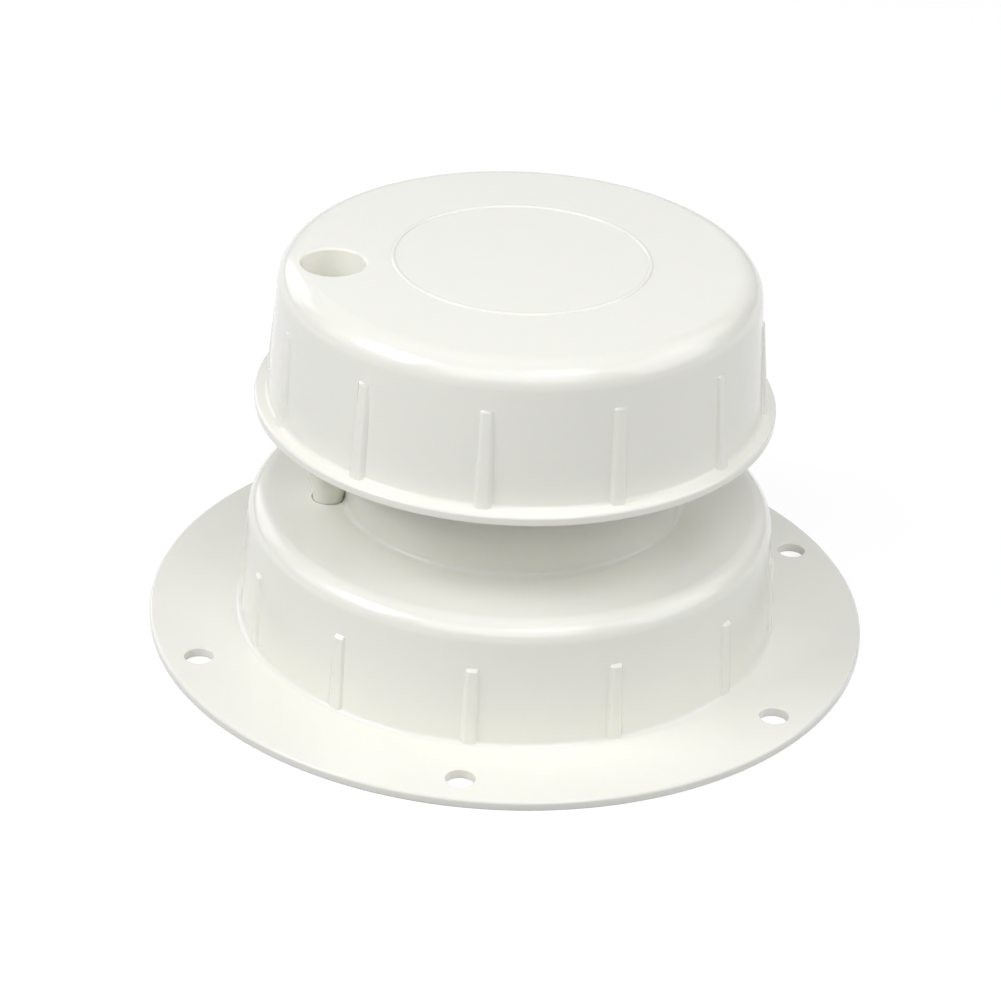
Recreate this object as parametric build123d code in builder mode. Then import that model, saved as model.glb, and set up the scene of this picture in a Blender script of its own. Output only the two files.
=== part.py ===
"""Roof vent cap: a flanged dome with a neck and a rubber pipe seal, under a rain cap held by one screw.

Millimetres. The origin is the centre of the flange's underside, and +Z points up, away from the roof.
The screw post stands on the left, at post_angle. The front of the cap is -Y.
"""

import os
from math import cos, radians, sin, tan

from build123d import *

# Pipes and the seal that grips them
pipe_diameters = (60.3, 48.3, 42.2, 33.4, 25.4)
seal_grip = 0.7
seal_wall = 1.8
seal_step_h = 5.0
seal_margin = 1.15
seal_lip_w = 3.5
seal_lip_t = 1.6
seal_round = 0.5
groove_gap = 0.1

# Base: walls, deck and neck
shell_t = 2.2
deck_z = 35.2
deck_fall = 0.4
neck_floor_w = 4.6
neck_h = 34.8
neck_foot_round = 1.5
neck_lip_round = 0.8
deck_w = 23.6
shoulder_round = 5.3
dome_spread = 2.25
dome_foot_round = 1.6

# Base: roof flange
flange_w = 23.35
flange_t = 2.5
flange_edge_round = 0.8
flange_under_round = 0.4
bolt_count = 6
bolt_inset = 8.7
bolt_hole_d = 7.2
bolt_start = 23.8

# Cap: cover, lip and raised ring
cap_t = 2.0
air_gap_w = 17.1
air_gap_h = 28.2
skirt_overlap = 8.4
cap_draft = 4.2
cap_corner_round = 7.0
lip_w = 3.4
lip_edge_h = 2.4
lip_rise = 0.6
lip_round = 0.8
lip_under_round = 0.4
lip_root_round = 1.0
ring_r = 31.6
ring_w = 1.1
ring_h = 0.4

# Ribs, the same count and angles on the base and the cap
rib_count = 12
rib_start = 23.75
rib_top_w = 2.1
rib_foot_w = 2.8
rib_top_root_w = 3.4
rib_foot_root_w = 4.3
rib_end_h = 1.0
base_rib_h = 20.9
base_rib_top_proud = 0.9
base_rib_foot_proud = 0.5
cap_rib_h = 24.6
cap_rib_top_proud = 0.45
cap_rib_foot_proud = 1.25

# Screw post, moulded under the cap at the bottom of its recess
post_angle = 188.75
post_offset = 3.5
post_nose_r = 4.3
post_nose_h = 2.2
post_cone_h = 8.7
post_t = 1.8
recess_r = 8.0
recess_round = 0.7
seat_floor_t = 10.4
seat_r = 5.3

# Where the post meets the base: a shallow socket, and a bay in the neck's wall
socket_depth = 0.8
bay_gap = 0.5
bay_t = 1.8
boss_t = 2.3
boss_floor_t = 1.2
tip_gap = 0.7

# Fins that seat the cap on the neck and centre it
fin_count = 6
fin_t = 1.8
fin_grip_h = 4.0
fin_inner_w = 4.2
fin_gap = 0.35

# Screw, washer and ring
screw_r = 2.1
screw_core_r = 1.5
screw_pitch = 1.4
screw_len = 25.4
screw_tip_h = 3.6
thread_plain_h = 1.2
thread_land = 0.12
thread_root = 1.0
head_r = 4.0
head_h = 3.0
head_round = 1.3
drive_r = 2.2
drive_w = 1.0
drive_depth = 1.8
drive_taper = 8
washer_r = 4.7
washer_hole_r = 2.45
washer_t = 0.9
ring_seal_r = 4.6
ring_seal_hole_r = 2.2
ring_seal_t = 1.8
hole_clearance = 0.3
thread_clearance = 0.05

# Gaps between seated faces, and the overlap of features that are fused
seat_gap = 0.1
nose_gap = 0.2
bite = 0.6

# Sizes worked out from the ones above, from the pipe outwards
bore_radii = [diameter / 2 - seal_grip for diameter in pipe_diameters]
deck_hole_r = bore_radii[0] + seal_wall + seal_margin + groove_gap
seal_lip_r = deck_hole_r + seal_lip_w
neck_in_r = seal_lip_r + neck_floor_w
neck_r = neck_in_r + shell_t
neck_top_z = deck_z + neck_h
dome_top_r = neck_r + deck_w
dome_foot_r = dome_top_r + dome_spread
flange_r = dome_foot_r + flange_w
bolt_r = flange_r - bolt_inset
shoulder_z = deck_z - deck_fall
dome_lean = dome_spread / (shoulder_z - flange_t)

lip_z = neck_top_z - skirt_overlap
lip_top_z = lip_z + lip_edge_h + lip_rise
cap_under_z = neck_top_z + air_gap_h
cap_top_z = cap_under_z + cap_t
cap_lean = tan(radians(cap_draft))
cap_foot_r = neck_r + air_gap_w + cap_t
lip_r = cap_foot_r + lip_w

post_axis_r = neck_r + post_offset
post_x = post_axis_r * cos(radians(post_angle))
post_y = post_axis_r * sin(radians(post_angle))
socket_z = deck_z - socket_depth
nose_z = socket_z + nose_gap
nose_top_z = nose_z + post_nose_h
cone_top_z = nose_top_z + post_cone_h
post_foot_r = seat_r + post_t
post_head_r = recess_r + post_t
seat_z = nose_z + seat_floor_t

ring_seal_z = seat_z + seat_gap
washer_z = ring_seal_z + ring_seal_t
head_z = washer_z + washer_t
screw_tip_z = head_z - screw_len
thread_start_z = screw_tip_z + screw_tip_h - screw_pitch / 2
pilot_floor_z = screw_tip_z - tip_gap
boss_z = pilot_floor_z - boss_floor_t
boss_r = screw_r + boss_t

post_axis = Axis((post_x, post_y, 0), (0, 0, 1))
post_section = Plane(
    origin=(post_x, post_y, 0),
    x_dir=(cos(radians(post_angle)), sin(radians(post_angle)), 0),
    z_dir=(sin(radians(post_angle)), -cos(radians(post_angle)), 0),
)


def dome_radius(z):
    """Outer radius of the dome's wall at a height."""
    return dome_top_r + (shoulder_z - z) * dome_lean


def cap_radius(z):
    """Outer radius of the cap's wall at a height."""
    return cap_foot_r - (z - lip_top_z) * cap_lean


def cap_inner_radius(z):
    """Inner radius of the cap's wall at a height."""
    return cap_radius(z) - cap_t / cos(radians(cap_draft))


def corner(sketch, x, y):
    """The sketch's vertex nearest to a point."""
    return sketch.vertices().sort_by_distance((x, y))[0]


def post_outline(grow, low_z):
    """Half section of the post, grown all round, from a height up into the cap's top."""
    return [
        (0, low_z),
        (post_nose_r + grow, low_z),
        (post_nose_r + grow, nose_top_z),
        (post_foot_r + grow, cone_top_z),
        (post_head_r + grow, cap_under_z + bite),
        (0, cap_under_z + bite),
    ]


def rib(radius_at, low_z, high_z, foot_proud, top_proud):
    """A rib on the wall at angle 0, with leaning sides and an upper end that slopes back into the wall."""
    foot_buried_w = rib_foot_w + (rib_foot_root_w - rib_foot_w) * (foot_proud + bite) / foot_proud
    top_buried_w = rib_top_w + (rib_top_root_w - rib_top_w) * (top_proud + bite) / top_proud
    sections = [
        (low_z, rib_foot_w, foot_buried_w, foot_proud),
        (high_z - rib_end_h, rib_top_w, top_buried_w, top_proud),
        (high_z, rib_top_w, top_buried_w, -bite / 2),
    ]
    with BuildPart() as body:
        for z, face_w, buried_w, proud in sections:
            wall_r = radius_at(z)
            with BuildSketch(Plane.XY.offset(z)):
                with BuildLine():
                    Polyline(
                        (wall_r - bite, -buried_w / 2),
                        (wall_r + proud, -face_w / 2),
                        (wall_r + proud, face_w / 2),
                        (wall_r - bite, buried_w / 2),
                        close=True,
                    )
                make_face()
        loft(ruled=True)
    return body.part


# Bay: the wall that closes the neck around the post
with BuildPart() as bay:
    with BuildSketch(post_section):
        with BuildLine():
            Polyline(*post_outline(bay_gap + bay_t, deck_z - shell_t), close=True)
        make_face()
    revolve(axis=post_axis)
    with BuildSketch(Plane.XY.offset(deck_z - shell_t)):
        Circle(neck_r - neck_lip_round)
    extrude(amount=neck_top_z - deck_z + shell_t, mode=Mode.INTERSECT)

base_rib_z = flange_t + base_rib_h
base_rib = rib(dome_radius, flange_t - bite, base_rib_z, base_rib_foot_proud, base_rib_top_proud)
cap_rib_z = lip_top_z + cap_rib_h
cap_rib = rib(cap_radius, lip_top_z - bite, cap_rib_z, cap_rib_foot_proud, cap_rib_top_proud)

# Base: flange, dome, deck and neck in one moulding
with BuildPart() as base:
    with BuildSketch(Plane.XZ) as outline:
        with BuildLine():
            Polyline(
                (dome_foot_r - shell_t, 0),
                (flange_r, 0),
                (flange_r, flange_t),
                (dome_foot_r, flange_t),
                (dome_top_r, shoulder_z),
                (neck_r, deck_z),
                (neck_r, neck_top_z),
                (neck_in_r, neck_top_z),
                (neck_in_r, deck_z),
                (deck_hole_r, deck_z),
                (deck_hole_r, deck_z - shell_t),
                (neck_r, deck_z - shell_t),
                (dome_top_r - shell_t, shoulder_z - shell_t),
                close=True,
            )
        make_face()
        fillet(corner(outline, flange_r, 0), flange_under_round)
        fillet(corner(outline, flange_r, flange_t), flange_edge_round)
        fillet(corner(outline, dome_foot_r, flange_t), dome_foot_round)
        fillet(corner(outline, dome_top_r, shoulder_z), shoulder_round)
        fillet(corner(outline, dome_top_r - shell_t, shoulder_z - shell_t), shoulder_round - shell_t)
        fillet(corner(outline, neck_r, deck_z), neck_foot_round)
        fillet(corner(outline, neck_r, neck_top_z), neck_lip_round)
        fillet(corner(outline, neck_in_r, neck_top_z), neck_lip_round)
        fillet(corner(outline, neck_in_r, deck_z), neck_foot_round)
    revolve(axis=Axis.Z)
    with PolarLocations(0, rib_count, start_angle=rib_start):
        add(base_rib)
    with Locations((0, 0, flange_t)):
        with PolarLocations(bolt_r, bolt_count, start_angle=bolt_start):
            Hole(bolt_hole_d / 2, depth=flange_t)
    add(bay.part)
    with Locations((post_x, post_y, boss_z)):
        Cylinder(boss_r, deck_z - shell_t + bite - boss_z, align=(Align.CENTER, Align.CENTER, Align.MIN))
    with BuildSketch(post_section):
        with BuildLine():
            Polyline(*post_outline(bay_gap, socket_z), close=True)
        make_face()
        with Locations((0, pilot_floor_z)):
            Rectangle(screw_r + thread_clearance, socket_z - pilot_floor_z, align=Align.MIN)
    revolve(axis=post_axis, mode=Mode.SUBTRACT)
base.part.label = "base"


# Seat fin: a web under the cap's top, notched over the neck's edge
fin_foot_z = neck_top_z - fin_grip_h
fin_notch_z = neck_top_z + seat_gap
fin_in_r = neck_in_r - fin_gap - fin_inner_w
with BuildPart() as fin:
    with BuildSketch(Plane.XZ) as outline:
        with BuildLine():
            Polyline(
                (fin_in_r, cap_under_z + bite),
                (fin_in_r, fin_foot_z + fin_gap),
                (fin_in_r + fin_gap, fin_foot_z),
                (neck_in_r - fin_gap, fin_foot_z),
                (neck_in_r - fin_gap, fin_notch_z),
                (neck_r + fin_gap, fin_notch_z),
                (neck_r + fin_gap, fin_foot_z),
                (cap_inner_radius(fin_foot_z) + bite, fin_foot_z),
                (cap_inner_radius(cap_under_z) + bite, cap_under_z + bite),
                close=True,
            )
        make_face()
        fin_corner = corner(outline, cap_inner_radius(cap_under_z) + bite, cap_under_z + bite)
        fillet(fin_corner, cap_corner_round - cap_t + bite)
    extrude(amount=fin_t / 2, both=True)

# Cap: cover, lip, raised ring, ribs, seat fins and the screw post in one moulding
with BuildPart() as cap:
    with BuildSketch(Plane.XZ) as outline:
        with BuildLine():
            Polyline(
                (cap_inner_radius(lip_z), lip_z),
                (lip_r, lip_z),
                (lip_r, lip_z + lip_edge_h),
                (cap_foot_r, lip_top_z),
                (cap_radius(cap_top_z), cap_top_z),
                (0, cap_top_z),
                (0, cap_under_z),
                (cap_inner_radius(cap_under_z), cap_under_z),
                close=True,
            )
        make_face()
        fillet(corner(outline, lip_r, lip_z), lip_under_round)
        fillet(corner(outline, lip_r, lip_z + lip_edge_h), lip_round)
        fillet(corner(outline, cap_foot_r, lip_top_z), lip_root_round)
        fillet(corner(outline, cap_radius(cap_top_z), cap_top_z), cap_corner_round)
        fillet(corner(outline, cap_inner_radius(cap_under_z), cap_under_z), cap_corner_round - cap_t)
    revolve(axis=Axis.Z)
    with BuildSketch(Plane.XZ):
        with Locations((ring_r, cap_top_z)):
            Ellipse(ring_w / 2, ring_h)
    revolve(axis=Axis.Z)
    with PolarLocations(0, rib_count, start_angle=rib_start):
        add(cap_rib)
    with PolarLocations(0, fin_count, start_angle=post_angle + 180 / fin_count):
        add(fin.part)
    with BuildSketch(post_section):
        with BuildLine():
            Polyline(*post_outline(0, nose_z), close=True)
        make_face()
    revolve(axis=post_axis)
    with BuildSketch(post_section):
        with BuildLine():
            Polyline((0, seat_z), (seat_r, seat_z), (recess_r, cap_top_z), (0, cap_top_z), close=True)
        make_face()
        with Locations((0, nose_z)):
            Rectangle(screw_r + hole_clearance, seat_z - nose_z, align=Align.MIN)
    revolve(axis=post_axis, mode=Mode.SUBTRACT)
    recess_edge = cap.edges().sort_by_distance((post_x, post_y + recess_r, cap_top_z))[0]
    fillet(recess_edge, recess_round)
cap.part.label = "cap"

# Pipe seal: a rubber grommet in the deck's hole, with a bore for each pipe, smallest on top
with BuildPart() as pipe_seal:
    seal_foot_z = deck_z - shell_t - groove_gap - seal_lip_t
    lip_face_z = deck_z + groove_gap + seal_lip_t
    outside = []
    inside = [(bore_radii[0], seal_foot_z)]
    for step, bore_r in enumerate(bore_radii):
        step_z = lip_face_z + (step + 1) * seal_step_h
        outside += [(bore_r + seal_wall, step_z - seal_step_h), (bore_r + seal_wall, step_z)]
        if step:
            inside += [(bore_r, step_z - seal_step_h - seal_wall)]
        if step < len(bore_radii) - 1:
            inside += [(bore_r, step_z - seal_wall)]
        else:
            inside += [(bore_r, step_z)]
    with BuildSketch(Plane.XZ) as outline:
        with BuildLine():
            Polyline(
                (seal_lip_r, seal_foot_z),
                (seal_lip_r, deck_z - shell_t - groove_gap),
                (deck_hole_r - groove_gap, deck_z - shell_t - groove_gap),
                (deck_hole_r - groove_gap, deck_z + groove_gap),
                (seal_lip_r, deck_z + groove_gap),
                (seal_lip_r, lip_face_z),
                *outside,
                *reversed(inside),
                close=True,
            )
        make_face()
        fillet(corner(outline, seal_lip_r, lip_face_z), seal_round)
        fillet(corner(outline, seal_lip_r, seal_foot_z), seal_round)
        for step_r, step_z in outside[1::2]:
            fillet(corner(outline, step_r, step_z), seal_round)
    revolve(axis=Axis.Z)
pipe_seal.part.label = "pipe_seal"

# Screw: a pan head with a cross recess, a core with a thread, and a cone point
with BuildPart() as cap_screw:
    with BuildSketch(post_section) as outline:
        with BuildLine():
            Polyline(
                (0, screw_tip_z),
                (screw_core_r, screw_tip_z + screw_tip_h),
                (screw_core_r, head_z),
                (head_r, head_z),
                (head_r, head_z + head_h),
                (0, head_z + head_h),
                close=True,
            )
        make_face()
        fillet(corner(outline, head_r, head_z + head_h), head_round)
    revolve(axis=post_axis)
    with BuildSketch(Plane.XY.offset(head_z + head_h)):
        with Locations((post_x, post_y)):
            Rectangle(2 * drive_r, drive_w)
            Rectangle(drive_w, 2 * drive_r)
    extrude(amount=-drive_depth, taper=drive_taper, mode=Mode.SUBTRACT)
    with BuildLine():
        Helix(
            screw_pitch,
            head_z - thread_plain_h - thread_start_z,
            screw_core_r,
            center=(post_x, post_y, thread_start_z),
        )
    with BuildSketch(Plane((post_x + screw_core_r, post_y, thread_start_z), (1, 0, 0), (0, -1, 0))):
        with BuildLine():
            Polyline(
                (-thread_land, -thread_root / 2),
                (screw_r - screw_core_r, -thread_land / 2),
                (screw_r - screw_core_r, thread_land / 2),
                (-thread_land, thread_root / 2),
                close=True,
            )
        make_face()
    sweep(is_frenet=True)
cap_screw.part.label = "cap_screw"

# Washer under the screw's head
with BuildPart() as screw_washer:
    with BuildSketch(Plane.XY.offset(washer_z)):
        with Locations((post_x, post_y)):
            Circle(washer_r)
            Circle(washer_hole_r, mode=Mode.SUBTRACT)
    extrude(amount=washer_t)
screw_washer.part.label = "screw_washer"

# Rubber ring under the washer
with BuildPart() as screw_seal:
    with BuildSketch(Plane.XY.offset(ring_seal_z)):
        with Locations((post_x, post_y)):
            Circle(ring_seal_r)
            Circle(ring_seal_hole_r, mode=Mode.SUBTRACT)
    extrude(amount=ring_seal_t)
screw_seal.part.label = "screw_seal"

os.makedirs("parts", exist_ok=True)
export_step(base.part, "parts/base.step")
export_step(cap.part, "parts/cap.step")
export_step(pipe_seal.part, "parts/pipe_seal.step")
export_step(cap_screw.part, "parts/cap_screw.step")
export_step(screw_washer.part, "parts/screw_washer.step")
export_step(screw_seal.part, "parts/screw_seal.step")
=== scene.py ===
"""Looks of the roof vent cap: two glossy white mouldings, a black rubber pipe seal and a steel screw set.

Metres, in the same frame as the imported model. The camera stands in front (-Y), a little to the left.
"""

from math import atan2, cos, hypot, pi, radians, sin, tan

import bmesh
import bpy
from mathutils import Matrix, Vector


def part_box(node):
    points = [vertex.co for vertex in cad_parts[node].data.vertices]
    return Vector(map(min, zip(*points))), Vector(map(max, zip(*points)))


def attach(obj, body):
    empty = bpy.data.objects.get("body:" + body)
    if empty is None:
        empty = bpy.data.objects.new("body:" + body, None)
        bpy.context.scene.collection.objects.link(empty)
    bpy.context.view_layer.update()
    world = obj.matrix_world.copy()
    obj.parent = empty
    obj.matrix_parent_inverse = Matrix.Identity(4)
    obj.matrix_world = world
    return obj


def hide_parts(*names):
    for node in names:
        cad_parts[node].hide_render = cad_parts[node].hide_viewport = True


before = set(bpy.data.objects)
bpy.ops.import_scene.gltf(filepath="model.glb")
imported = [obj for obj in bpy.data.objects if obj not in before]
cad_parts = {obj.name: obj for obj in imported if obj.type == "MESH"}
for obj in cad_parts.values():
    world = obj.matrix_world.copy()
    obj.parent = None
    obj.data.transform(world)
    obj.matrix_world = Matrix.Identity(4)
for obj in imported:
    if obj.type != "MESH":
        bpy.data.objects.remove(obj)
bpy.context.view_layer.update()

MM = 0.001

# Sizes read from the frame
base_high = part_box("base")[1]
cap_low, cap_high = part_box("cap")
seal_low, seal_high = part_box("pipe_seal")
screw_low, screw_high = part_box("cap_screw")
washer_low, washer_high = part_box("screw_washer")
ring_low, ring_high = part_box("screw_seal")

# Base: walls, deck, neck and flange
flange_r = base_high.x
flange_t = 2.5 * MM
flange_w = 23.35 * MM
flange_edge_round = 0.8 * MM
flange_under_round = 0.4 * MM
bolt_count = 6
bolt_inset = 8.7 * MM
bolt_hole_r = 3.6 * MM
bolt_rim_round = 0.25 * MM
bolt_start = radians(23.8)
shell_t = 2.2 * MM
dome_spread = 2.25 * MM
dome_foot_round = 1.6 * MM
shoulder_round = 5.3 * MM
deck_w = 23.6 * MM
deck_fall = 0.4 * MM
neck_floor_w = 4.6 * MM
neck_foot_round = 1.5 * MM
neck_lip_round = 0.8 * MM
neck_top_z = base_high.z
neck_h = 34.8 * MM
seal_lip_w = 3.5 * MM

# Pipe seal: the pipes that it fits, and its walls
pipe_diameters = (60.3 * MM, 48.3 * MM, 42.2 * MM, 33.4 * MM, 25.4 * MM)
seal_grip = 0.7 * MM
seal_wall = 1.8 * MM
seal_step_h = 5.0 * MM
seal_lip_t = 1.6 * MM
seal_round = 0.5 * MM
seal_root_round = 0.3 * MM
groove_gap = 0.1 * MM

# Cap: cover, lip, raised ring
cap_t = 2.0 * MM
cap_draft = radians(4.2)
cap_corner_round = 7.0 * MM
lip_r = cap_high.x
lip_w = 3.4 * MM
lip_edge_h = 2.4 * MM
lip_rise = 0.6 * MM
lip_round = 0.8 * MM
lip_under_round = 0.4 * MM
lip_root_round = 1.0 * MM
skirt_overlap = 8.4 * MM
ring_r = 31.6 * MM
ring_w = 1.1 * MM
ring_h = 0.4 * MM

# Ribs on the base and the cap
rib_count = 12
rib_start = radians(23.75)
rib_top_w = 2.1 * MM
rib_foot_w = 2.8 * MM
rib_top_root_w = 3.4 * MM
rib_foot_root_w = 4.3 * MM
rib_end_h = 1.0 * MM
rib_edge_round = 0.35 * MM
base_rib_h = 20.9 * MM
base_rib_top_proud = 0.9 * MM
base_rib_foot_proud = 0.5 * MM
cap_rib_h = 24.6 * MM
cap_rib_top_proud = 0.45 * MM
cap_rib_foot_proud = 1.25 * MM

# Screw post under the cap, and its bay and boss in the base
post_nose_r = 4.3 * MM
post_nose_h = 2.2 * MM
post_nose_round = 0.5 * MM
post_cone_h = 8.7 * MM
post_t = 1.8 * MM
recess_r = 8.0 * MM
recess_round = 0.7 * MM
seat_r = 5.3 * MM
seat_gap = 0.1 * MM
nose_gap = 0.2 * MM
screw_hole_r = 2.4 * MM
pilot_r = 2.15 * MM
bay_gap = 0.3 * MM
bay_t = 1.8 * MM
boss_r = 4.4 * MM
boss_round = 0.5 * MM
tip_gap = 0.7 * MM
boss_floor_t = 1.2 * MM
washer_hole_r = 2.45 * MM
washer_round = 0.15 * MM
ring_hole_r = 2.2 * MM
ring_round = 0.7 * MM

# Fins that seat the cap on the neck
fin_count = 6
fin_t = 1.8 * MM
fin_grip_h = 4.0 * MM
fin_inner_w = 4.2 * MM
fin_gap = 0.35 * MM

# Heights and radii worked out from the ones above
deck_z = neck_top_z - neck_h
shoulder_z = deck_z - deck_fall
dome_foot_r = flange_r - flange_w
dome_top_r = dome_foot_r - dome_spread
neck_r = dome_top_r - deck_w
neck_in_r = neck_r - shell_t
deck_hole_r = neck_in_r - neck_floor_w - seal_lip_w
lip_z = neck_top_z - skirt_overlap
lip_top_z = lip_z + lip_edge_h + lip_rise
cap_foot_r = lip_r - lip_w
cap_top_z = cap_high.z - ring_h
cap_under_z = cap_top_z - cap_t
post_x = (screw_low.x + screw_high.x) / 2
post_y = (screw_low.y + screw_high.y) / 2
post_angle = atan2(post_y, post_x)
POST_AXIS = (post_x, post_y)
nose_z = cap_low.z
socket_z = nose_z - nose_gap
nose_top_z = nose_z + post_nose_h
cone_top_z = nose_top_z + post_cone_h
seat_z = ring_low.z - seat_gap

# Sides of the large and small turned forms
TURNS = 288
POST_TURNS = 96
DRILL_TURNS = 48

# Overlap of forms that are joined, the gap that keeps cuts apart, and distances that count as none
BITE = 0.6 * MM
CLEAR = 0.05 * MM
NEAR = 0.02 * MM
SAME = 0.001 * MM

# Shading: edges sharper than this stay crisp, and large faces weigh most in the normals
CREASE = radians(32)
FACE_WEIGHT = 90


def dome_radius(z):
    """Outer radius of the dome's wall at a height."""
    return dome_top_r + (shoulder_z - z) * dome_spread / (shoulder_z - flange_t)


def cap_radius(z):
    """Outer radius of the cap's wall at a height."""
    return cap_foot_r - (z - lip_top_z) * tan(cap_draft)


def cap_inner_radius(z):
    """Inner radius of the cap's wall at a height."""
    return cap_radius(z) - cap_t / cos(cap_draft)


def deselect():
    """Leaves edit mode and deselects every object."""
    if bpy.context.object and bpy.context.object.mode != "OBJECT":
        bpy.ops.object.mode_set(mode="OBJECT")
    bpy.ops.object.select_all(action="DESELECT")


def make_active(piece):
    deselect()
    piece.select_set(True)
    bpy.context.view_layer.objects.active = piece


def edit(piece, kind="VERT"):
    """Goes into edit mode on a piece, with nothing selected."""
    make_active(piece)
    bpy.ops.object.mode_set(mode="EDIT")
    bpy.ops.mesh.select_mode(type=kind)
    bpy.ops.mesh.select_all(action="DESELECT")


def select_verts(piece, test):
    """Selects the vertices whose place passes a test, with the edges and faces between them."""
    mesh = bmesh.from_edit_mesh(piece.data)
    for vert in mesh.verts:
        vert.select_set(bool(test(vert.co)))
    mesh.select_flush(True)
    bmesh.update_edit_mesh(piece.data)


def select_edges(piece, test):
    """Selects the edges whose two ends pass a test, and gives the angle between the last one's faces."""
    angle = 0
    mesh = bmesh.from_edit_mesh(piece.data)
    for edge in mesh.edges:
        if test(edge.verts[0].co, edge.verts[1].co):
            edge.select_set(True)
            angle = edge.calc_face_angle(0)
    bmesh.update_edit_mesh(piece.data)
    return angle


def select_faces(piece, test):
    """Selects the faces whose centre and normal pass a test."""
    mesh = bmesh.from_edit_mesh(piece.data)
    for face in mesh.faces:
        face.select_set(bool(test(face.calc_center_median(), face.normal)))
    bmesh.update_edit_mesh(piece.data)


def close_up(piece):
    """Merges doubled vertices and turns the faces outwards."""
    edit(piece)
    bpy.ops.mesh.select_all(action="SELECT")
    bpy.ops.mesh.remove_doubles(threshold=SAME)
    bpy.ops.mesh.normals_make_consistent(inside=False)
    bpy.ops.object.mode_set(mode="OBJECT")


def turned(name, outline, turns=TURNS, axis=(0, 0)):
    """A body turned round an upright axis from a closed outline of (radius, height) corners.

    An outline that meets the axis has two corners there in a row, at radius 0.
    """
    solid = any(radius == 0 for radius, z in outline)
    while solid and (outline[-1][0] or outline[-2][0]):
        outline = outline[1:] + outline[:1]
    deselect()
    first_r, first_z = outline[0]
    bpy.ops.mesh.primitive_circle_add(vertices=turns, radius=first_r, location=(*axis, first_z))
    piece = bpy.context.object
    piece.name = piece.data.name = name
    bpy.ops.object.transform_apply(location=True)

    def carry_on(corner, following):
        grow = following[0] / corner[0]
        bpy.ops.mesh.extrude_edges_move(TRANSFORM_OT_translate={"value": (0, 0, following[1] - corner[1])})
        bpy.ops.transform.resize(value=(grow, grow, 1), center_override=(*axis, following[1]))

    edit(piece)
    bpy.ops.mesh.select_all(action="SELECT")
    chain = outline[:-1] if solid else outline + outline[:1]
    for corner, following in zip(chain, chain[1:]):
        carry_on(corner, following)
    close_up(piece)
    if solid:
        edit(piece)
        bpy.ops.mesh.select_non_manifold(extend=False)
        carry_on(outline[0], outline[-1])
        close_up(piece)
    return piece


def round_edges(piece, test, curve, segments):
    """Rounds the edges whose ends pass a test with an arc of a given radius."""
    edit(piece, "EDGE")
    angle = select_edges(piece, test)
    bpy.ops.mesh.bevel(offset=curve * tan(angle / 2), segments=segments, profile=0.5, affect="EDGES")
    bpy.ops.object.mode_set(mode="OBJECT")


def round_ring(piece, radius, z, curve, axis=(0, 0), *, segments):
    """Rounds the turned edge at a radius and height."""

    def on_ring(place):
        off_axis = hypot(place.x - axis[0], place.y - axis[1])
        return abs(off_axis - radius) < NEAR and abs(place.z - z) < NEAR

    round_edges(piece, lambda low, high: on_ring(low) and on_ring(high), curve, segments)


def combine(piece, tool, how):
    """Adds a tool to a piece, cuts it away or keeps what both share, and deletes the tool."""
    make_active(piece)
    change = piece.modifiers.new("combine", "BOOLEAN")
    change.object = tool
    change.operation = how
    change.solver = "EXACT"
    bpy.ops.object.modifier_apply(modifier=change.name)
    bpy.data.objects.remove(tool)


def copy_round(piece, count, start=0.0):
    """Copies a piece made at angle 0 to equal angles round Z and joins the copies."""
    copies = []
    for number in range(count):
        make_active(piece)
        bpy.ops.object.duplicate()
        turn = bpy.context.object
        turn.data.transform(Matrix.Rotation(start + number * 2 * pi / count, 4, "Z"))
        copies.append(turn)
    bpy.data.objects.remove(piece)
    return joined(copies)


def joined(pieces):
    """Joins pieces into the first one."""
    deselect()
    for piece in pieces:
        piece.select_set(True)
    bpy.context.view_layer.objects.active = pieces[0]
    bpy.ops.object.join()
    return pieces[0]


def smooth(piece):
    """Smooth shading with crisp creases, and normals that keep the large faces flat."""
    make_active(piece)
    bpy.ops.object.shade_smooth_by_angle(angle=CREASE)
    even = piece.modifiers.new("even_normals", "WEIGHTED_NORMAL")
    even.mode = "FACE_AREA"
    even.weight = FACE_WEIGHT
    even.keep_sharp = True
    bpy.ops.object.modifier_apply(modifier=even.name)


def finish_piece(piece, material, body, slot, *nodes):
    """Gives a piece its material and body, and hides the CAD nodes that it stands for. The slot argument
    is not used.
    """
    piece.data.materials.clear()
    piece.data.materials.append(material)
    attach(piece, body)
    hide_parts(*nodes)


# Ribs, fins and post: the features that the mouldings share

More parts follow.
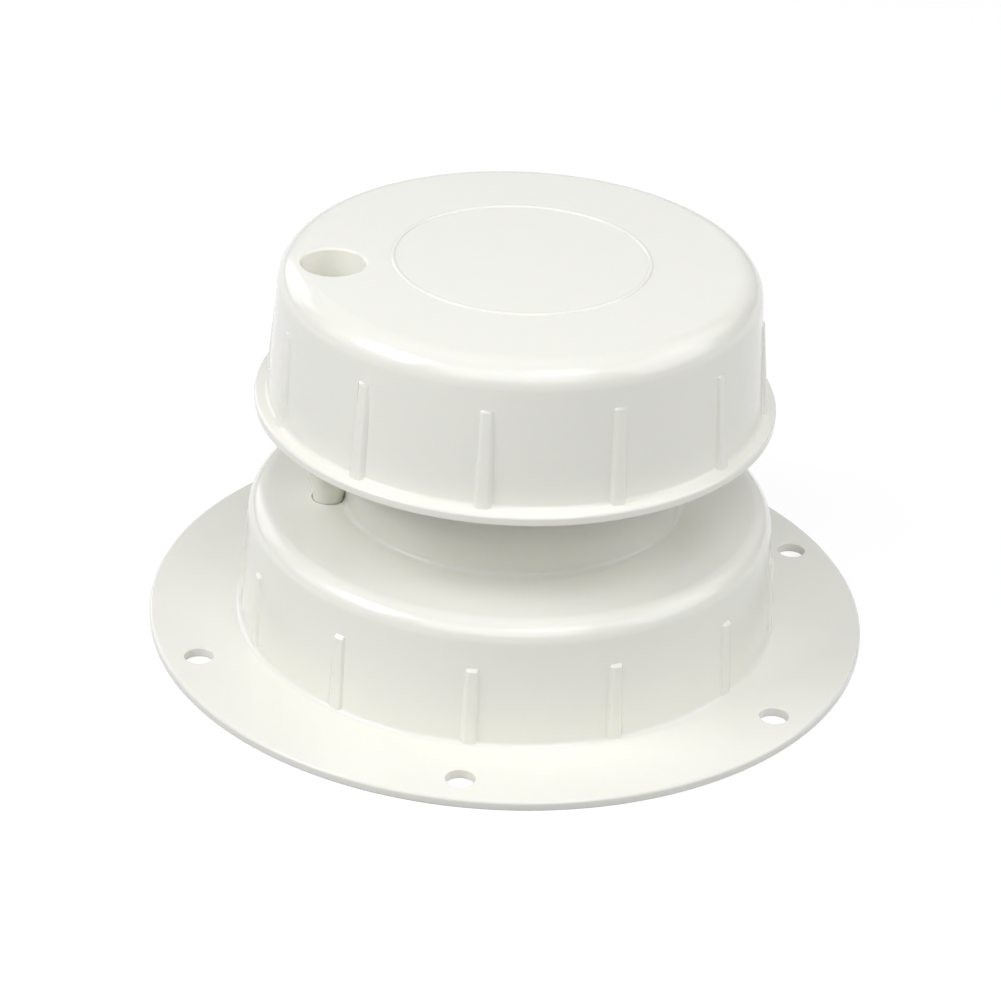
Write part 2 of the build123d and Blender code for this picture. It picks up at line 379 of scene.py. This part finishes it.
def rib(radius_at, low_z, high_z, foot_proud, top_proud):
    """A rib on the wall at angle 0, with leaning sides and an upper end that slopes back into the wall."""
    top_z = high_z - rib_end_h
    foot_r, top_r, end_r = radius_at(low_z), radius_at(top_z), radius_at(high_z)
    foot_buried_w = rib_foot_w + (rib_foot_root_w - rib_foot_w) * (foot_proud + BITE) / foot_proud
    top_buried_w = rib_top_w + (rib_top_root_w - rib_top_w) * (top_proud + BITE) / top_proud
    deselect()
    bpy.ops.mesh.primitive_plane_add(size=1, location=(foot_r + (foot_proud - BITE) / 2, 0, low_z))
    piece = bpy.context.object
    bpy.ops.transform.resize(value=(foot_proud + BITE, foot_buried_w, 1))
    bpy.ops.object.transform_apply(location=True, scale=True)
    edit(piece)
    select_verts(piece, lambda place: place.x > foot_r)
    bpy.ops.transform.resize(value=(1, rib_foot_w / foot_buried_w, 1), center_override=(0, 0, 0))
    bpy.ops.mesh.select_all(action="SELECT")
    bpy.ops.mesh.extrude_region_move(TRANSFORM_OT_translate={"value": (top_r - foot_r, 0, top_z - low_z)})
    select_verts(piece, lambda place: place.z > low_z + BITE and place.x < top_r)
    bpy.ops.transform.resize(value=(1, top_buried_w / foot_buried_w, 1), center_override=(0, 0, 0))
    select_verts(piece, lambda place: place.z > low_z + BITE and place.x > top_r)
    bpy.ops.transform.resize(value=(1, rib_top_w / rib_foot_w, 1), center_override=(0, 0, 0))
    bpy.ops.transform.translate(value=(top_proud - foot_proud, 0, 0))
    select_verts(piece, lambda place: place.z > low_z + BITE)
    bpy.ops.mesh.extrude_region_move(TRANSFORM_OT_translate={"value": (end_r - top_r, 0, high_z - top_z)})
    select_verts(piece, lambda place: place.z > high_z - rib_end_h / 2 and place.x > end_r)
    bpy.ops.transform.translate(value=(-top_proud - BITE / 2, 0, 0))
    close_up(piece)
    edit(piece, "EDGE")

    def outside(place):
        return place.x > radius_at(place.z) + min(foot_proud, top_proud) / 2

    def shown(low, high):
        level = abs(low.z - high.z) < CLEAR
        return outside(low) and outside(high) and not (level and low.z < low_z + BITE)

    select_edges(piece, shown)
    bpy.ops.mesh.bevel(offset=rib_edge_round, segments=4, profile=0.5, affect="EDGES")
    bpy.ops.object.mode_set(mode="OBJECT")
    return piece


def post_outline(grow, low_z):
    """Half section of the post, grown all round, from a height up into the cap's top."""
    head_r = recess_r + post_t
    foot_r = seat_r + post_t
    return [
        (0, low_z),
        (post_nose_r + grow, low_z),
        (post_nose_r + grow, nose_top_z),
        (foot_r + grow, cone_top_z),
        (head_r + grow, cap_under_z + BITE),
        (0, cap_under_z + BITE),
    ]


def drill(name, radius, low_z, high_z, rim_round, axis):
    """A drill for a hole through a plate, flared at both faces so that it leaves rounded rims."""
    wide = radius + 2 * rim_round
    flare_low_z = low_z - CLEAR / 4
    flare_high_z = high_z + CLEAR / 4
    outline = [
        (0, low_z - wide),
        (wide, low_z - wide),
        (wide, flare_low_z),
        (radius, flare_low_z),
        (radius, flare_high_z),
        (wide, flare_high_z),
        (wide, high_z + wide),
        (0, high_z + wide),
    ]
    tool = turned(name, outline, DRILL_TURNS, axis)
    round_ring(tool, radius, flare_low_z, rim_round, axis, segments=4)
    round_ring(tool, radius, flare_high_z, rim_round, axis, segments=4)
    return tool


# Base

def base_shell():
    """Flange, dome, deck and neck, turned in one wall."""
    under_z = deck_z - shell_t
    shell = turned("base_moulding", [
        (dome_foot_r - shell_t, 0),
        (flange_r, 0),
        (flange_r, flange_t),
        (dome_foot_r, flange_t),
        (dome_top_r, shoulder_z),
        (neck_r, deck_z),
        (neck_r, neck_top_z),
        (neck_in_r, neck_top_z),
        (neck_in_r, deck_z),
        (deck_hole_r, deck_z),
        (deck_hole_r, under_z),
        (neck_r, under_z),
        (dome_top_r - shell_t, shoulder_z - shell_t),
    ])
    round_ring(shell, dome_foot_r - shell_t, 0, flange_under_round, segments=3)
    round_ring(shell, flange_r, 0, flange_under_round, segments=3)
    round_ring(shell, flange_r, flange_t, flange_edge_round, segments=5)
    round_ring(shell, dome_foot_r, flange_t, dome_foot_round, segments=5)
    round_ring(shell, dome_top_r, shoulder_z, shoulder_round, segments=14)
    round_ring(shell, dome_top_r - shell_t, shoulder_z - shell_t, shoulder_round - shell_t, segments=10)
    round_ring(shell, neck_r, deck_z, neck_foot_round, segments=7)
    round_ring(shell, neck_r, neck_top_z, neck_lip_round, segments=5)
    round_ring(shell, neck_in_r, neck_top_z, neck_lip_round, segments=5)
    round_ring(shell, neck_in_r, deck_z, neck_foot_round, segments=7)
    return shell


def bay_tool():
    """The wall that closes the neck round the post, kept inside the neck."""
    low_z = deck_z - shell_t / 2
    bay = turned("bay", post_outline(bay_gap + bay_t, low_z), POST_TURNS, POST_AXIS)
    deselect()
    high_z = neck_top_z - CLEAR
    bpy.ops.mesh.primitive_cylinder_add(
        vertices=TURNS, radius=neck_r - neck_lip_round, depth=high_z - low_z + 2 * BITE,
        location=(0, 0, (high_z + low_z) / 2 - BITE),
    )
    inside = bpy.context.object
    bpy.ops.object.transform_apply(location=True)
    combine(bay, inside, "INTERSECT")
    return bay


def make_base():
    shell = base_shell()
    rib_z = flange_t + base_rib_h
    wall_rib = rib(dome_radius, flange_t - BITE, rib_z, base_rib_foot_proud, base_rib_top_proud)
    ribs = copy_round(wall_rib, rib_count, rib_start)
    combine(shell, joined([ribs, bay_tool()]), "UNION")

    pilot_floor_z = screw_low.z - tip_gap
    boss_z = pilot_floor_z - boss_floor_t
    boss = turned("boss", [
        (0, boss_z),
        (boss_r, boss_z),
        (boss_r + BITE, deck_z - shell_t / 2),
        (0, deck_z - shell_t / 2),
    ], POST_TURNS, POST_AXIS)
    round_ring(boss, boss_r, boss_z, boss_round, POST_AXIS, segments=3)
    combine(shell, boss, "UNION")

    space = post_outline(bay_gap, socket_z)
    space[:1] = [(0, pilot_floor_z), (pilot_r, pilot_floor_z), (pilot_r, socket_z)]
    tools = [turned("post_space", space, POST_TURNS, POST_AXIS)]
    bolt_r = flange_r - bolt_inset
    for number in range(bolt_count):
        angle = bolt_start + number * 2 * pi / bolt_count
        place = (bolt_r * cos(angle), bolt_r * sin(angle))
        tools.append(drill(f"bolt_{number}", bolt_hole_r, 0, flange_t, bolt_rim_round, place))
    combine(shell, joined(tools), "DIFFERENCE")
    close_up(shell)
    smooth(shell)
    return shell


# Cap

def raised_ring(points=10):
    """Points of the half-round ring on the cap's top, from outside in."""
    return [
        (ring_r + ring_w / 2 * cos(pi * step / points), cap_top_z + ring_h * sin(pi * step / points))
        for step in range(points + 1)
    ]


def cap_shell():
    """Cover, lip and raised ring, turned in one wall."""
    shell = turned("cap_moulding", [
        (cap_inner_radius(lip_z), lip_z),
        (lip_r, lip_z),
        (lip_r, lip_z + lip_edge_h),
        (cap_foot_r, lip_top_z),
        (cap_radius(cap_top_z), cap_top_z),
        *raised_ring(),
        (0, cap_top_z),
        (0, cap_under_z),
        (cap_inner_radius(cap_under_z), cap_under_z),
    ])
    round_ring(shell, cap_inner_radius(lip_z), lip_z, lip_under_round, segments=3)
    round_ring(shell, lip_r, lip_z, lip_under_round, segments=4)
    round_ring(shell, lip_r, lip_z + lip_edge_h, lip_round, segments=6)
    round_ring(shell, cap_foot_r, lip_top_z, lip_root_round, segments=5)
    round_ring(shell, cap_radius(cap_top_z), cap_top_z, cap_corner_round, segments=16)
    round_ring(shell, cap_inner_radius(cap_under_z), cap_under_z, cap_corner_round - cap_t, segments=10)
    return shell


def fin():
    """A web under the cap's top at angle 0, notched over the neck's edge."""
    foot_z = neck_top_z - fin_grip_h
    notch_z = neck_top_z + seat_gap
    top_z = cap_under_z + BITE
    in_r = neck_in_r - fin_gap - fin_inner_w
    notch_in_r = neck_in_r - fin_gap
    notch_out_r = neck_r + fin_gap
    out_r = cap_inner_radius(foot_z) + BITE
    deselect()
    bpy.ops.mesh.primitive_cube_add(size=1, location=((in_r + out_r) / 2, 0, (notch_z + top_z) / 2))
    piece = bpy.context.object
    bpy.ops.transform.resize(value=(out_r - in_r, fin_t, top_z - notch_z))
    bpy.ops.object.transform_apply(location=True, scale=True)
    for cut_r in (notch_in_r, notch_out_r):
        edit(piece)
        bpy.ops.mesh.select_all(action="SELECT")
        bpy.ops.mesh.bisect(plane_co=(cut_r, 0, 0), plane_no=(1, 0, 0))
    edit(piece, "FACE")

    def grips(centre, normal):
        return normal.z < -0.9 and not notch_in_r < centre.x < notch_out_r

    select_faces(piece, grips)
    bpy.ops.mesh.extrude_region_move(TRANSFORM_OT_translate={"value": (0, 0, foot_z - notch_z)})
    bpy.ops.mesh.select_mode(type="VERT")
    select_verts(piece, lambda place: place.x > out_r - BITE / 2 and place.z > top_z - BITE / 2)
    bpy.ops.transform.translate(value=(cap_inner_radius(top_z) - cap_inner_radius(foot_z), 0, 0))
    close_up(piece)

    def in_corner(place):
        return place.x > notch_out_r + BITE and place.z > top_z - BITE / 2

    corner_round = cap_corner_round - cap_t + BITE
    round_edges(piece, lambda low, high: in_corner(low) and in_corner(high), corner_round, 8)
    return piece


def make_cap():
    shell = cap_shell()
    rib_z = lip_top_z + cap_rib_h
    wall_rib = rib(cap_radius, lip_top_z - BITE, rib_z, cap_rib_foot_proud, cap_rib_top_proud)
    ribs = copy_round(wall_rib, rib_count, rib_start)
    fins = copy_round(fin(), fin_count, post_angle + pi / fin_count)
    post = turned("post", post_outline(0, nose_z), POST_TURNS, POST_AXIS)
    round_ring(post, post_nose_r, nose_z, post_nose_round, POST_AXIS, segments=4)
    combine(shell, joined([ribs, fins, post]), "UNION")

    mouth_z = cap_top_z + CLEAR / 3
    recess = turned("recess", [
        (0, nose_z - BITE),
        (screw_hole_r, nose_z - BITE),
        (screw_hole_r, seat_z),
        (seat_r, seat_z),
        (recess_r, mouth_z),
        (recess_r + 2 * recess_round, mouth_z),
        (recess_r + 2 * recess_round, mouth_z + BITE),
        (0, mouth_z + BITE),
    ], POST_TURNS, POST_AXIS)
    round_ring(recess, recess_r, mouth_z, recess_round, POST_AXIS, segments=6)
    combine(shell, recess, "DIFFERENCE")
    close_up(shell)
    smooth(shell)
    return shell


# Seals and washer

def make_pipe_seal():
    """Stepped grommet in the deck's hole, with a bore for each pipe, smallest on top."""
    bores = [diameter / 2 - seal_grip for diameter in pipe_diameters]
    foot_z = seal_low.z
    face_z = deck_z + groove_gap + seal_lip_t
    groove_low_z = deck_z - shell_t - groove_gap
    groove_high_z = deck_z + groove_gap
    groove_r = deck_hole_r - groove_gap
    edge_r = seal_high.x
    outside = []
    inside = [(bores[0], foot_z)]
    for step, bore_r in enumerate(bores):
        low_z = face_z + step * seal_step_h
        high_z = low_z + seal_step_h
        outside += [(bore_r + seal_wall, low_z), (bore_r + seal_wall, high_z)]
        if step:
            inside.append((bore_r, low_z - seal_wall))
        inside.append((bore_r, high_z - seal_wall if step < len(bores) - 1 else high_z))
    seal = turned("pipe_seal_rubber", [
        (edge_r, foot_z),
        (edge_r, groove_low_z),
        (groove_r, groove_low_z),
        (groove_r, groove_high_z),
        (edge_r, groove_high_z),
        (edge_r, face_z),
        *outside,
        *reversed(inside),
    ])
    for z in (foot_z, face_z):
        round_ring(seal, edge_r, z, seal_round, segments=4)
    for low_corner, high_corner in zip(outside[::2], outside[1::2]):
        round_ring(seal, *low_corner, seal_root_round, segments=3)
        round_ring(seal, *high_corner, seal_round, segments=4)
    for place in inside:
        round_ring(seal, *place, seal_root_round, segments=3)
    smooth(seal)
    return seal


def flat_ring(name, low, high, hole_r, curve):
    """A flat ring round the post's axis with rounded edges, sized from the box of its node."""
    edge_r = (high.x - low.x) / 2
    outline = [(edge_r, low.z), (edge_r, high.z), (hole_r, high.z), (hole_r, low.z)]
    piece = turned(name, outline, POST_TURNS, POST_AXIS)
    for radius, z in outline:
        round_ring(piece, radius, z, curve, POST_AXIS, segments=4)
    smooth(piece)
    return piece


# Materials: each colour wanders between two values, and the middle of a pattern spans its whole change

PATTERN_MIDDLE = (0.3, 0.7)
PLASTIC_DEEP = (0.865, 0.862, 0.767)
PLASTIC_PALE = (0.885, 0.882, 0.785)
RUBBER_BLACK = (0.018, 0.018, 0.019)
RUBBER_BLOOM = (0.04, 0.04, 0.042)
STEEL_DEEP = (0.56, 0.55, 0.53)
STEEL_PALE = (0.66, 0.65, 0.63)


def new_material(name, roughness):
    """A node material, with its shader and its object coordinates."""
    material = bpy.data.materials.new(name)
    material.use_nodes = True
    nodes = material.node_tree.nodes
    shader = nodes["Principled BSDF"]
    shader.inputs["Roughness"].default_value = roughness
    place = nodes.new("ShaderNodeTexCoord").outputs["Object"]
    return material, shader, place


def noise(material, place, scale, detail):
    """A cloudy pattern, with its scale in clouds a metre."""
    node = material.node_tree.nodes.new("ShaderNodeTexNoise")
    node.inputs["Scale"].default_value = scale
    node.inputs["Detail"].default_value = detail
    material.node_tree.links.new(place, node.inputs["Vector"])
    return node.outputs["Fac"]


def spread(material, pattern, low, high):
    """Maps the middle of a pattern to a range of values."""
    node = material.node_tree.nodes.new("ShaderNodeMapRange")
    node.inputs["From Min"].default_value, node.inputs["From Max"].default_value = PATTERN_MIDDLE
    node.inputs["To Min"].default_value = low
    node.inputs["To Max"].default_value = high
    material.node_tree.links.new(pattern, node.inputs["Value"])
    return node.outputs["Result"]


def blend_colours(material, pattern, first, second):
    """Mixes two colours by a pattern."""
    node = material.node_tree.nodes.new("ShaderNodeMix")
    node.data_type = "RGBA"
    material.node_tree.links.new(pattern, node.inputs["Factor"])
    for socket in node.inputs:
        if socket.type == "RGBA":
            socket.default_value = (*(first if socket.name == "A" else second), 1)
    return next(socket for socket in node.outputs if socket.type == "RGBA")


def bumps(material, shader, layers):
    """Stacks bumps, each a (height pattern, distance in metres, strength)."""
    normal = None
    for height, distance, strength in layers:
        node = material.node_tree.nodes.new("ShaderNodeBump")
        node.inputs["Distance"].default_value = distance
        node.inputs["Strength"].default_value = strength
        material.node_tree.links.new(height, node.inputs["Height"])
        if normal:
            material.node_tree.links.new(normal, node.inputs["Normal"])
        normal = node.outputs["Normal"]
    material.node_tree.links.new(normal, shader.inputs["Normal"])


def white_plastic(name):
    """Glossy warm white injection moulding, faintly clouded and wavy, with a little light inside."""
    material, shader, place = new_material(name, 0.15)
    links = material.node_tree.links
    clouds = noise(material, place, scale=38, detail=3)
    colour = blend_colours(material, clouds, PLASTIC_DEEP, PLASTIC_PALE)
    links.new(colour, shader.inputs["Base Color"])
    haze = noise(material, place, scale=160, detail=4)
    links.new(spread(material, haze, low=0.12, high=0.18), shader.inputs["Roughness"])
    shader.inputs["IOR"].default_value = 1.49
    shader.inputs["Subsurface Weight"].default_value = 0.25
    shader.inputs["Subsurface Radius"].default_value = (1.0, 0.9, 0.6)
    shader.inputs["Subsurface Scale"].default_value = 2 * MM
    sink = noise(material, place, scale=70, detail=1)
    grain = noise(material, place, scale=2400, detail=2)
    bumps(material, shader, [(sink, 0.02 * MM, 1.0), (grain, 0.001 * MM, 0.5)])
    return material


def black_rubber(name):
    """Matt black moulded rubber with a dusty bloom."""
    material, shader, place = new_material(name, 0.62)
    links = material.node_tree.links
    bloom = noise(material, place, scale=120, detail=5)
    colour = blend_colours(material, bloom, RUBBER_BLACK, RUBBER_BLOOM)
    links.new(colour, shader.inputs["Base Color"])
    links.new(spread(material, bloom, low=0.5, high=0.75), shader.inputs["Roughness"])
    grain = noise(material, place, scale=3200, detail=3)
    bumps(material, shader, [(grain, 0.02 * MM, 0.8)])
    return material


def stainless(name):
    """Plain stainless steel with a fine worked surface."""
    material, shader, place = new_material(name, 0.3)
    links = material.node_tree.links
    shader.inputs["Metallic"].default_value = 1.0
    smear = noise(material, place, scale=900, detail=3)
    colour = blend_colours(material, smear, STEEL_DEEP, STEEL_PALE)
    links.new(colour, shader.inputs["Base Color"])
    links.new(spread(material, smear, low=0.24, high=0.38), shader.inputs["Roughness"])
    grain = noise(material, place, scale=4200, detail=2)
    bumps(material, shader, [(grain, 0.004 * MM, 0.7)])
    return material


# Studio

WORLD_LEVEL = 0.05
FLOOR_GLOW = 0.77
FLOOR_R = 6.0
FLOOR_DROP = 0.02 * MM
FLOOR_DEEP = (0.29, 0.29, 0.29)
FLOOR_PALE = (0.31, 0.31, 0.31)
LAMP_AIM = Vector((0, 0, 0.05))
LAMP_TINT = (1, 1, 1.06)

# Soft lamps: name, place, width and height in metres, watts
LAMPS = (
    ("front", (0, -0.9, 0.9), (1.4, 0.8), 7.55),
    ("front_high", (0.26, -0.46, 0.9), (0.35, 0.35), 1.16),
    ("left", (-0.69, -0.28, 0.72), (0.5, 0.5), 3.98),
    ("left_wide", (-1.0, -0.2, 0.7), (0.9, 0.9), 2.33),
    ("right_wide", (1.0, -0.2, 0.7), (0.9, 0.9), 4.88),
    ("back_left", (-0.66, 0.66, 0.39), (0.5, 0.5), 1.24),
    ("back_right", (0.69, 0.28, 0.72), (0.5, 0.5), 0.98),
    ("behind", (0, 1.3, 0.55), (2.4, 0.9), 4.04),
)

# Camera, fitted to the circles of the flange, its holes, the cap and the neck
SENSOR_W = 36.0
FOCAL = 113.46
CAMERA_DOWN = radians(28.976)
CAMERA_ROLL = radians(2.618)
CAMERA_DISTANCE = 805.5 * MM
CAMERA_AIM = Vector((-2.512 * MM, 0, 32.239 * MM))


def soft_light(name, place, size, watts):
    light = bpy.data.lights.new(name, "AREA")
    light.shape = "RECTANGLE"
    light.size, light.size_y = size
    light.energy = watts
    light.color = LAMP_TINT
    lamp = bpy.data.objects.new(name, light)
    bpy.context.scene.collection.objects.link(lamp)
    lamp.location = place
    lamp.rotation_mode = "QUATERNION"
    lamp.rotation_quaternion = (LAMP_AIM - Vector(place)).to_track_quat("-Z", "Y")


def make_floor():
    """Pale floor. It looks white to the camera and in reflections, and keeps the shadow."""
    deselect()
    bpy.ops.mesh.primitive_circle_add(
        vertices=128, radius=FLOOR_R, fill_type="NGON", location=(0, 0, -FLOOR_DROP),
    )
    floor = bpy.context.object
    floor.name = "floor"
    bpy.ops.object.transform_apply(location=True)
    material, shader, place = new_material("pale_floor", 0.9)
    links = material.node_tree.links
    clouds = noise(material, place, scale=6, detail=2)
    links.new(blend_colours(material, clouds, FLOOR_DEEP, FLOOR_PALE), shader.inputs["Base Color"])
    shader.inputs["Specular IOR Level"].default_value = 0.0
    path = material.node_tree.nodes.new("ShaderNodeLightPath")
    seen = path.outputs["Is Camera Ray"]
    for other in ("Is Glossy Ray", "Is Transmission Ray"):
        either = material.node_tree.nodes.new("ShaderNodeMath")
        either.operation = "MAXIMUM"
        links.new(seen, either.inputs[0])
        links.new(path.outputs[other], either.inputs[1])
        seen = either.outputs[0]
    glow = material.node_tree.nodes.new("ShaderNodeMath")
    glow.operation = "MULTIPLY"
    glow.inputs[1].default_value = FLOOR_GLOW
    links.new(seen, glow.inputs[0])
    shader.inputs["Emission Color"].default_value = (1, 1, 1, 1)
    links.new(glow.outputs[0], shader.inputs["Emission Strength"])
    floor.data.materials.append(material)


def make_world():
    world = bpy.data.worlds.new("studio_air")
    bpy.context.scene.world = world
    world.use_nodes = True
    sky = world.node_tree.nodes["Background"]
    sky.inputs["Color"].default_value = (1, 1, 1, 1)
    sky.inputs["Strength"].default_value = WORLD_LEVEL


def make_camera():
    camera = bpy.data.objects.new("camera", bpy.data.cameras.new("camera"))
    bpy.context.scene.collection.objects.link(camera)
    camera.data.sensor_width = SENSOR_W
    camera.data.lens = FOCAL
    back = Vector((0, -cos(CAMERA_DOWN), sin(CAMERA_DOWN)))
    camera.location = CAMERA_AIM + back * CAMERA_DISTANCE
    camera.rotation_mode = "ZYX"
    camera.rotation_euler = (pi / 2 - CAMERA_DOWN, 0, CAMERA_ROLL)
    bpy.context.scene.camera = camera


make_camera()
make_world()
for lamp in LAMPS:
    soft_light(*lamp)
make_floor()

plastic = white_plastic("white_plastic")
rubber = black_rubber("seal_rubber")
steel = stainless("stainless")

finish_piece(make_base(), plastic, "base", "white_plastic", "base")
finish_piece(make_cap(), plastic, "cap", "white_plastic", "cap")
finish_piece(make_pipe_seal(), rubber, "base", "seal_rubber", "pipe_seal")
washer = flat_ring("washer_steel", washer_low, washer_high, washer_hole_r, washer_round)
finish_piece(washer, steel, "washer", "stainless", "screw_washer")
ring = flat_ring("screw_seal_rubber", ring_low, ring_high, ring_hole_r, ring_round)
finish_piece(ring, rubber, "washer", "seal_rubber", "screw_seal")
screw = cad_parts["cap_screw"]
screw.data.materials.clear()
screw.data.materials.append(steel)

bpy.context.scene.view_settings.view_transform = "Standard"
